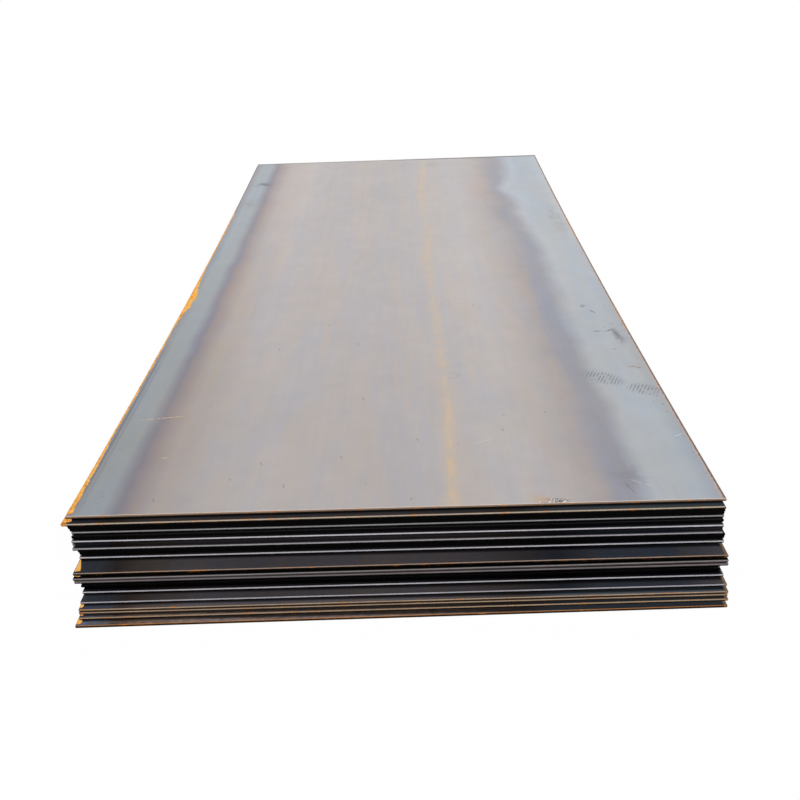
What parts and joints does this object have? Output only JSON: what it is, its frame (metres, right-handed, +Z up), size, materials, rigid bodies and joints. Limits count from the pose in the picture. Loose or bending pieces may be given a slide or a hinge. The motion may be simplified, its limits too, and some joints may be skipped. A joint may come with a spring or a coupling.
{
  "type": "steel plate stack",
  "caption": "Stack of hot-rolled flat steel plates with staggered sheared ends, rolled edges, mill scale and rusty edges, lying flat for storage.",
  "frame": {"origin": "on the floor, at the middle of the stack's outline seen from above", "axes": "+X across the plates to the right, +Y along the plates towards the far end, +Z up through the stack"},
  "size_m": [1.5318, 3.1142, 0.238],
  "materials": {
    "mill_scale_steel": "hot-rolled, with grey mill scale",
    "rust_edged_steel": "hot-rolled, with grey mill scale and brown rust along its edges"
  },
  "bodies": {
    "root": {"plate_01": "rust_edged_steel", "plate_02": "rust_edged_steel", "plate_03": "mill_scale_steel", "plate_04": "mill_scale_steel", "plate_05": "mill_scale_steel", "plate_06": "mill_scale_steel", "plate_07": "mill_scale_steel", "plate_08": "mill_scale_steel", "plate_09": "mill_scale_steel", "plate_10": "mill_scale_steel", "plate_11": "mill_scale_steel", "plate_12": "mill_scale_steel", "plate_13": "mill_scale_steel", "plate_14": "rust_edged_steel", "plate_15": "rust_edged_steel", "plate_16": "mill_scale_steel", "plate_17": "mill_scale_steel", "plate_18": "mill_scale_steel", "plate_19": "mill_scale_steel", "plate_20": "mill_scale_steel", "plate_21": "mill_scale_steel", "plate_22": "rust_edged_steel", "plate_23": "rust_edged_steel", "plate_24": "rust_edged_steel", "plate_25": "rust_edged_steel", "plate_26": "rust_edged_steel"}
  },
  "joints": []
}
